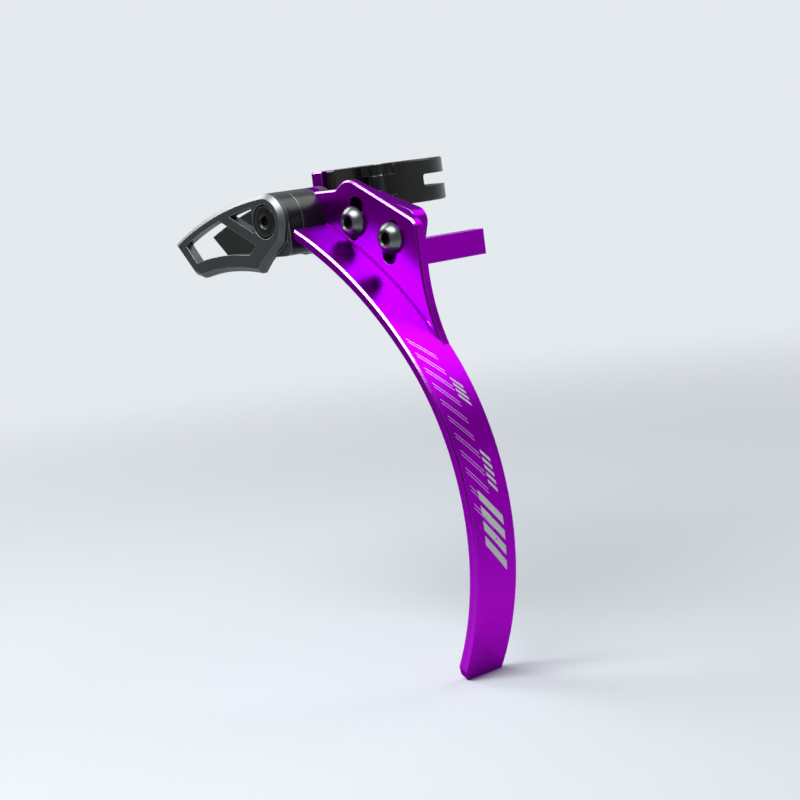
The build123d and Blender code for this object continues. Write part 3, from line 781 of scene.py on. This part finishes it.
class CHAINGUIDE_OT_guard_bolts(Operator):
    """Model the two button head bolts of the guard"""
    bl_idname = "chainguide.guard_bolts"
    bl_label = "Guard Bolts"

    def execute(self, context):
        low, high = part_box("guard_bolts")
        inset = GUARD_BOLT_INSET
        seat = low.y + GUARD_BOLT_HEAD
        radius, face, rim = 4.4 * MM, 2.6 * MM, 0.12 * MM
        dome = arc((radius, 0.5 * MM), (2.45 * MM, face - 0.06 * MM), radius=4.2 * MM, steps=9)
        upper = turned("guard_bolt_upper", [
            (2.0 * MM, -1.0 * MM), (2.0 * MM, 0.0), (radius - rim, 0.0), (radius, rim), *dome,
            (2.2 * MM, face), (2.1 * MM, face - 0.04 * MM), (1.78 * MM, face - 0.5 * MM)])
        bolt(upper, face, key_flats=3.0 * MM, key_depth=1.7 * MM, crest=M5, tip=seat - high.y,
             shoulder=-0.5 * MM)
        bpy.ops.object.duplicate()
        lower = context.object
        lower.name = "guard_bolt_lower"
        places = [(low.x + inset, high.z - inset), (high.x - inset, low.z + inset)]
        material = steel("bolt_satin", context.scene.fastener_sizes.steel, shade=0.55,
                         roughness=0.24, sockets=[(*place, seat - face) for place in places])
        for piece, place in zip((upper, lower), places):
            placed(piece, outboard(*place, seat), ["guard_bolts"], material)
        return {"FINISHED"}


class CHAINGUIDE_OT_cage_plates(Operator):
    """Model the two plates of the chain cage and its spacer"""
    bl_idname = "chainguide.cage_plates"
    bl_label = "Cage Plates"

    def execute(self, context):
        colours = context.scene.anodised_colours
        low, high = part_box("cage_bolt")
        axis = (low.x + high.x) / 2.0, (low.z + high.z) / 2.0
        outer = cage_grey("cage_outer_grey", colours)
        inner = cage_grey("cage_inner_grey", colours)
        placed(self.outer_plate(axis), outboard(0.0, 0.0, CAGE_BACK_Y),
               ["cage_outer_plate"], outer)
        placed(self.spacer(axis), outboard(0.0, 0.0, PLATE_FACE_Y),
               ["cage_spacer"], inner)
        placed(self.inner_plate(axis), inboard(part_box("cage_inner_plate")[0].y),
               ["cage_inner_plate"], inner)
        return {"FINISHED"}

    def low_edge(self, radius, rear_x, front_x):
        """Points from rear to front on an edge that is concentric to the chainring."""
        steps = 16
        sides = [rear_x + (front_x - rear_x) * step / steps for step in range(steps + 1)]
        return [(side, RING_AXIS_Z + sqrt(radius * radius - (side - RING_AXIS_X) ** 2))
                for side in sides]

    def outline(self, axis, top_radius, tip, heel, low_edge, foot, front):
        """Corners of a cage plate, which goes round its bolt and tapers to the rear."""
        last, steps = -20.0, 24
        turn = 94.0 - last
        shoulder = [around(axis, CAGE_HEAD_RADIUS, last + turn * step / steps)
                    for step in range(steps + 1)]
        top = arc(shoulder[-1], tip, top_radius, steps)[1:]
        return [front, *shoulder, *top, heel, *low_edge, foot]

    def boss(self, axis):
        """Outline of the boss and the spacer: round above the bolt and square below it."""
        radius, foot, steps = CAGE_HEAD_RADIUS, axis[1] - 10.0 * MM, 32
        round_part = [around(axis, radius, 180.0 * step / steps) for step in range(steps + 1)]
        square_part = [(axis[0] - radius, foot), (axis[0] + radius, foot)]
        return eased([*round_part, *square_part], cut=3.0 * MM)

    def bore(self, piece, axis, low, high, recess=None):
        """Drill the hole for the bolt, with a recess for its head where one is given."""
        top = high + PAST
        upper = [(M5_HOLE, top)]
        if recess is not None:
            upper = [(M5_HOLE, recess), (HEAD_HOLE, recess), (HEAD_HOLE, top)]
        tool = turned("bore", [(M5_HOLE, low - PAST), *upper])
        bpy.ops.transform.translate(value=(*axis, 0.0))
        combine(piece, tool, "DIFFERENCE")

    def outer_plate(self, axis):
        """Bevelled outer plate with its two windows, its boss and the recess of the bolt's head."""
        thick = CAGE_BACK_Y - CAGE_OUTER_Y
        corners = self.outline(
            axis, top_radius=108.2 * MM, tip=mm(-19.2, -9.1), heel=mm(-11.6, -18.0),
            low_edge=self.low_edge(71.2 * MM, *mm(-7.6, 18.2)), foot=mm(21.4, -16.2),
            front=mm(28.9, -11.0))
        plate = slab("cage_outer_bevelled", corners, 0.0, thick, bevel=1.3 * MM)
        rail = 105.2 * MM
        long_window = [mm(18.2, -11.35), *arc(mm(3.5, -3.6), mm(-13.3, -9.6), rail, steps=14),
                       *self.low_edge(75.9 * MM, *mm(-9.2, 14.9))]
        small_window = [mm(18.2, -7.9), *arc(mm(18.2, -0.9), mm(8.0, -2.75), rail, steps=8)]
        for corners in (long_window, small_window):
            window = slab("window", eased(corners, cut=0.5 * MM), -PAST, thick + PAST)
            combine(plate, window, "DIFFERENCE")
        combine(plate, slab("boss", self.boss(axis), -CAGE_BOSS, 0.3 * MM), "UNION")
        self.bore(plate, axis, -CAGE_BOSS, thick, recess=thick - 2.0 * MM)
        return plate

    def spacer(self, axis):
        """Spacer between the boss and the guard's face plate."""
        depth = PLATE_FACE_Y - CAGE_BOSS_Y
        piece = slab("cage_spacer_milled", self.boss(axis), 0.0, depth, bevel=0.2 * MM)
        self.bore(piece, axis, 0.0, depth)
        return piece

    def inner_plate(self, axis):
        """Plain inner plate, drawn from its inboard side."""
        low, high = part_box("cage_inner_plate")
        thick = high.y - low.y
        corners = self.outline(
            axis, top_radius=142.7 * MM, tip=mm(-24.0, -8.8), heel=mm(-17.2, -15.4),
            low_edge=self.low_edge(74.0 * MM, *mm(-13.0, 17.0)), foot=mm(26.5, -14.2),
            front=mm(29.4, -10.5))
        plate = slab("cage_inner_milled", [(side, -up) for side, up in corners], 0.0, thick,
                     bevel=0.5 * MM)
        self.bore(plate, (axis[0], -axis[1]), 0.0, thick)
        return plate


class CHAINGUIDE_OT_cage_bolt(Operator):
    """Model the flush bolt of the cage and its nut"""
    bl_idname = "chainguide.cage_bolt"
    bl_label = "Cage Bolt"

    def execute(self, context):
        sizes = context.scene.fastener_sizes
        low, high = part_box("cage_bolt")
        nut_low, nut_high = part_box("cage_nut")
        radius = (high.x - low.x) / 2.0
        x, z = (low.x + high.x) / 2.0, (low.z + high.z) / 2.0
        head = turned("cage_bolt", [
            (2.2 * MM, -3.0 * MM), (2.2 * MM, -2.0 * MM), (radius - 0.15 * MM, -2.0 * MM),
            (radius, -1.85 * MM), (radius, -0.42 * MM), (radius - 0.12 * MM, -0.16 * MM),
            (radius - 0.42 * MM, 0.0), (2.1 * MM, 0.0), (1.66 * MM, -0.40 * MM)])
        piece = bolt(head, face=0.0, key_flats=3.0 * MM, key_depth=1.4 * MM, crest=M5,
                     tip=low.y - high.y, shoulder=-2.5 * MM)
        oxide = steel("black_oxide", sizes.black_oxide, shade=0.6, roughness=0.26)
        placed(piece, outboard(x, z, low.y), ["cage_bolt"], oxide)
        satin = steel("nut_satin", sizes.steel, shade=0.55, roughness=0.30)
        piece = nut("cage_nut_turned", nut_high.y - nut_low.y)
        placed(piece, outboard(x, z, nut_high.y), ["cage_nut"], satin)
        return {"FINISHED"}


class CHAINGUIDE_OT_clamp_bolt(Operator):
    """Model the cap screw, washer and nut that close the clamp"""
    bl_idname = "chainguide.clamp_bolt"
    bl_label = "Clamp Bolt"

    def execute(self, context):
        satin = steel("cap_screw_satin", context.scene.fastener_sizes.steel, shade=0.6,
                      roughness=0.27)
        seat = EAR_FACE + WASHER
        grip = seat + EAR_FACE + NUT_HEIGHT
        face = 5.0 * MM
        piece = bolt(self.head(face), face, key_flats=4.0 * MM, key_depth=2.5 * MM, crest=M5,
                     tip=-grip - 1.2 * MM, shoulder=-0.5 * MM)
        placed(piece, self.along(seat), ["clamp_bolt"], satin)
        placed(self.washer(), self.along(EAR_FACE), ["clamp_washer"], satin)
        piece = nut("clamp_nut_turned", NUT_HEIGHT)
        placed(piece, self.along(-EAR_FACE - NUT_HEIGHT), ["clamp_nut"], satin)
        return {"FINISHED"}

    def along(self, distance):
        """Place on the bolt's axis, at a distance from the middle of the gap."""
        to_axis = Matrix.Translation((CLOSING_REACH, 0.0, 0.0))
        upright = Matrix.Rotation(CLOSING_AZIMUTH, 4, "Z") @ to_axis
        axis = upright @ Matrix.Rotation(-pi / 2.0, 4, "X")
        return axis @ Matrix.Translation((0.0, 0.0, distance))

    def head(self, face):
        """Turned head of the cap screw with its knurl."""
        radius = 4.25 * MM
        head = turned("clamp_bolt", [
            (2.2 * MM, -1.0 * MM), (2.2 * MM, 0.0), (radius - 0.25 * MM, 0.0),
            (radius, 0.25 * MM), (radius, face - 0.75 * MM), (radius - 0.12 * MM, face - 0.6 * MM),
            (radius - 0.5 * MM, face), (2.75 * MM, face), (2.3 * MM, face - 0.35 * MM)])
        self.knurl(head, radius, 0.2 * MM, face - 0.7 * MM)
        return head

    def knurl(self, head, radius, low, high):
        """Press straight grooves into the side of the head."""
        pressed, tolerance = 0.955, 0.02 * MM
        steps = bpy.context.scene.fastener_sizes.steps
        for corner in head.data.vertices:
            beat = round(atan2(corner.co.y, corner.co.x) / (2.0 * pi) * steps)
            on_side = abs(hypot(corner.co.x, corner.co.y) - radius) < tolerance
            corner.select = on_side and beat % 2 == 0 and low < corner.co.z < high
        bpy.ops.object.mode_set(mode="EDIT")
        bpy.ops.mesh.select_mode(type="VERT")
        bpy.ops.transform.resize(value=(pressed, pressed, 1.0), center_override=(0.0, 0.0, 0.0))
        bpy.ops.object.mode_set(mode="OBJECT")

    def washer(self):
        """Flat washer with broken edges."""
        outer, rim = 4.8 * MM, 0.12 * MM
        washer = turned("clamp_washer", both_ends([(outer - rim, 0.0), (outer, rim)], WASHER))
        hole = turned("hole", both_ends([(M5_HOLE + PAST, -PAST), (M5_HOLE, PAST)], WASHER))
        combine(washer, hole, "DIFFERENCE")
        return washer


class CHAINGUIDE_OT_bracket_screw(Operator):
    """Model the countersunk screw of the bracket"""
    bl_idname = "chainguide.bracket_screw"
    bl_label = "Bracket Screw"

    def execute(self, context):
        low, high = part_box("bracket_screw")
        radius, rim = (high.z - low.z) / 2.0, 0.06 * MM
        head = turned("bracket_screw_turned", [
            (1.7 * MM, -3.0 * MM), (2.0 * MM, -1.75 * MM), (radius, -rim), (radius - rim, 0.0),
            (1.75 * MM, 0.0), (1.42 * MM, -0.30 * MM)])
        screw = bolt(head, face=0.0, key_flats=2.5 * MM, key_depth=1.6 * MM, crest=M4,
                     tip=low.x - high.x, shoulder=-2.0 * MM)
        material = steel("screw_satin", context.scene.fastener_sizes.steel, shade=0.6,
                         roughness=0.28)
        face = Matrix.Translation((low.x, (low.y + high.y) / 2.0, 0.0))
        place = face @ Matrix.Rotation(-pi / 2.0, 4, "Y")
        placed(screw, place, ["bracket_screw"], material)
        return {"FINISHED"}


# Stage

class CHAINGUIDE_OT_stage(Operator):
    """Set up the floor, the background, the lamps and the camera"""
    bl_idname = "chainguide.stage"
    bl_label = "Stage"

    def execute(self, context):
        sizes = context.scene.stage_sizes
        self.floor(sizes)
        self.world(context.scene, sizes)
        self.lamps(sizes)
        self.camera(context.scene, sizes)
        context.scene.view_settings.view_transform = "Standard"
        return {"FINISHED"}

    def floor(self, sizes):
        """Pale floor that fades out into the background."""
        radius = sizes.floor_radius
        bpy.ops.object.select_all(action="DESELECT")
        bpy.ops.mesh.primitive_circle_add(vertices=96, radius=radius, fill_type="NGON",
                                          location=(0.0, 0.0, FLOOR_Z))
        bpy.ops.object.transform_apply()
        floor = bpy.context.object
        floor.name = "floor"
        finish = Finish("floor")
        fade = finish.step(from_axis(finish.x, finish.y), 0.15 * radius, 0.98 * radius)
        cloud = finish.noise(30 * MM, detail=3.0)
        colour = finish.blend(cloud * 0.3, sizes.floor_colour, FLOOR_CLOUD)
        diffuse = finish.node("ShaderNodeBsdfDiffuse", None, {"Color": colour})
        clear = finish.node("ShaderNodeBsdfTransparent")
        mixed = finish.node("ShaderNodeMixShader", None,
                            {0: fade, 1: finish.out(diffuse), 2: finish.out(clear)})
        finish.node("ShaderNodeOutputMaterial", None, {"Surface": finish.out(mixed)})
        floor.data.materials.append(finish.material)

    def world(self, scene, sizes):
        """Pale for the camera. Reflections show a room that is dimmer outboard and has a darker
        band a little above the horizon."""
        world = bpy.data.worlds.new("studio")
        scene.world = world
        world.use_nodes = True
        nodes = Nodes(world.node_tree)
        path = nodes.node("ShaderNodeLightPath")
        direct = nodes.out(path, "Is Camera Ray") | nodes.out(path, "Is Transmission Ray")
        mirrored = nodes.out(path, "Is Glossy Ray")
        _, side, up = nodes.apart(nodes.out(nodes.node("ShaderNodeTexCoord"), "Generated"))
        band = nodes.step(up, 0.14, 0.30) * (1.0 - nodes.step(up, 0.36, 0.54))
        room = (0.34 + 0.50 * nodes.step(side, -0.6, 0.6)) * (1.0 - 0.55 * band)
        fill = (1.0 - (direct | mirrored)) * sizes.fill_light
        light = nodes.node("ShaderNodeBackground", None, {
            "Color": sizes.background, "Strength": direct + mirrored * room + fill})
        nodes.node("ShaderNodeOutputWorld", None, {"Surface": nodes.out(light)})

    def lamps(self, sizes):
        """Soft lamps, each aimed at the middle of the part."""
        for name, place, width, height, share in LAMPS:
            bpy.ops.object.select_all(action="DESELECT")
            bpy.ops.object.light_add(type="AREA", location=place)
            lamp = bpy.context.object
            lamp.name = name + "_lamp"
            lamp.data.shape = "ELLIPSE"
            lamp.data.size = width
            lamp.data.size_y = height
            lamp.data.energy = share * sizes.lamp_power
            aim = LAMP_TARGET - Vector(place)
            lamp.rotation_euler = aim.to_track_quat("-Z", "Y").to_euler()
            lamp.visible_camera = False

    def camera(self, scene, sizes):
        """Camera at the photograph's viewing angle."""
        bpy.ops.object.select_all(action="DESELECT")
        bpy.ops.object.camera_add()
        camera = bpy.context.object
        camera.name = "camera"
        right = CAMERA_RIGHT.normalized()
        back = right.cross(CAMERA_UP).normalized()
        turn = Matrix((right, back.cross(right), back)).transposed().to_4x4()
        camera.matrix_world = Matrix.Translation(CAMERA_PLACE) @ turn
        camera.data.sensor_width = SENSOR_WIDTH
        camera.data.lens = sizes.lens
        camera.data.clip_start = 0.01
        scene.camera = camera


# Panel and start

class CHAINGUIDE_PT_panel(Panel):
    """Buttons for each group of pieces"""
    bl_idname = "CHAINGUIDE_PT_panel"
    bl_label = "Chain Guide"
    bl_space_type = "VIEW_3D"
    bl_region_type = "UI"
    bl_category = "Chain Guide"

    def draw(self, context):
        for step in STEPS:
            self.layout.operator(step.bl_idname)
        for name, kind in SETTINGS.items():
            box = self.layout.box()
            for setting in kind.__annotations__:
                box.prop(getattr(context.scene, name), setting)


STEPS = (
    CHAINGUIDE_OT_finishes,
    CHAINGUIDE_OT_guard_bolts,
    CHAINGUIDE_OT_cage_plates,
    CHAINGUIDE_OT_cage_bolt,
    CHAINGUIDE_OT_clamp_bolt,
    CHAINGUIDE_OT_bracket_screw,
    CHAINGUIDE_OT_stage,
)
SETTINGS = {
    "stage_sizes": StageSizes,
    "anodised_colours": AnodisedColours,
    "print_sizes": PrintSizes,
    "fastener_sizes": FastenerSizes,
}


def register():
    for kind in (*SETTINGS.values(), *STEPS, CHAINGUIDE_PT_panel):
        bpy.utils.register_class(kind)
    for name, kind in SETTINGS.items():
        setattr(bpy.types.Scene, name, PointerProperty(type=kind))


def unregister():
    for name in SETTINGS:
        delattr(bpy.types.Scene, name)
    for kind in (CHAINGUIDE_PT_panel, *reversed(STEPS), *reversed(SETTINGS.values())):
        bpy.utils.unregister_class(kind)


def main():
    register()
    bpy.ops.chainguide.finishes()
    bpy.ops.chainguide.guard_bolts()
    bpy.ops.chainguide.cage_plates()
    bpy.ops.chainguide.cage_bolt()
    bpy.ops.chainguide.clamp_bolt()
    bpy.ops.chainguide.bracket_screw()
    bpy.ops.chainguide.stage()


if __name__ == "__main__":
    main()
